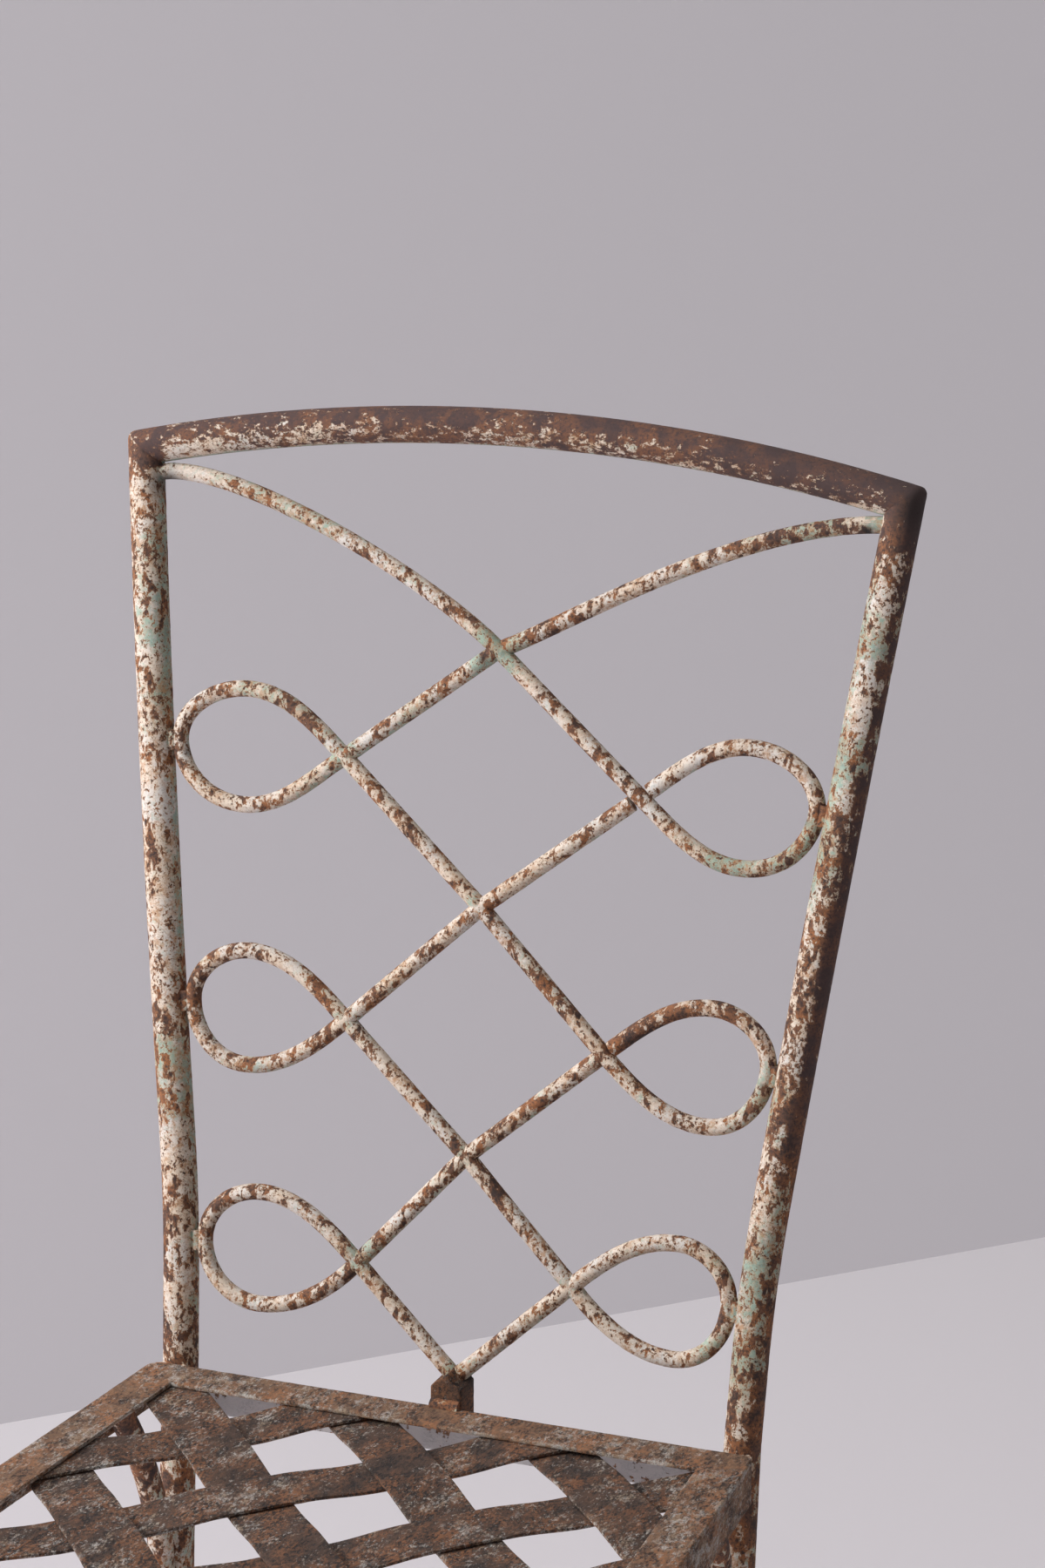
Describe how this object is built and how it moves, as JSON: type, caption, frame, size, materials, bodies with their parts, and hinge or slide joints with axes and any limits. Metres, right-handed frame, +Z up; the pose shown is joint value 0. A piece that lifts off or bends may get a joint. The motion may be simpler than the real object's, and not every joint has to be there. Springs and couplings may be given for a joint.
{
  "type": "wrought steel garden chair",
  "caption": "Old painted steel garden chair with a tube back filled with looped scrolls and a seat woven from flat straps.",
  "frame": {"origin": "on the floor, under the middle of the chair's bounding box", "axes": "+Z up, -Y towards the front of the seat, +X to the left of someone sitting in it, which is the right of a picture taken from in front"},
  "size_m": [0.5042, 0.52, 1.03],
  "materials": {
    "chipped_paint": "chalky cream paint over green, chipped down to rust",
    "rusted_rail": "brown rust with flecks of cream paint",
    "rusted_strap": "dark matt rust with pale flecks"
  },
  "bodies": {
    "root": {"top_rail": "rusted_rail", "upright_left": "chipped_paint", "upright_right": "chipped_paint", "front_leg_left": "chipped_paint", "front_leg_right": "chipped_paint", "brace_rear_left": "chipped_paint", "brace_rear_right": "chipped_paint", "brace_front_left": "chipped_paint", "brace_front_right": "chipped_paint", "scroll_loop_upper_right": "chipped_paint", "scroll_first_span_right": "chipped_paint", "scroll_link_upper_left": "chipped_paint", "scroll_loop_upper_left": "chipped_paint", "scroll_loop_middle_left": "chipped_paint", "scroll_loop_middle_right": "chipped_paint", "scroll_link_middle_left": "chipped_paint", "scroll_link_centre": "chipped_paint", "scroll_link_lower_right": "chipped_paint", "scroll_loop_lower_right": "chipped_paint", "scroll_loop_lower_left": "chipped_paint", "scroll_foot": "rusted_rail", "seat_rail_left": "rusted_rail", "seat_rail_front": "rusted_rail", "seat_rail_right": "rusted_rail", "seat_rail_rear": "rusted_rail", "strap_to_right_1": "rusted_strap", "strap_to_right_2": "rusted_strap", "strap_to_right_3": "rusted_strap", "strap_to_right_4": "rusted_strap", "strap_to_right_5": "rusted_strap", "strap_to_left_1": "rusted_strap", "strap_to_left_2": "rusted_strap", "strap_to_left_3": "rusted_strap", "strap_to_left_4": "rusted_strap", "strap_to_left_5": "rusted_strap"}
  },
  "joints": []
}
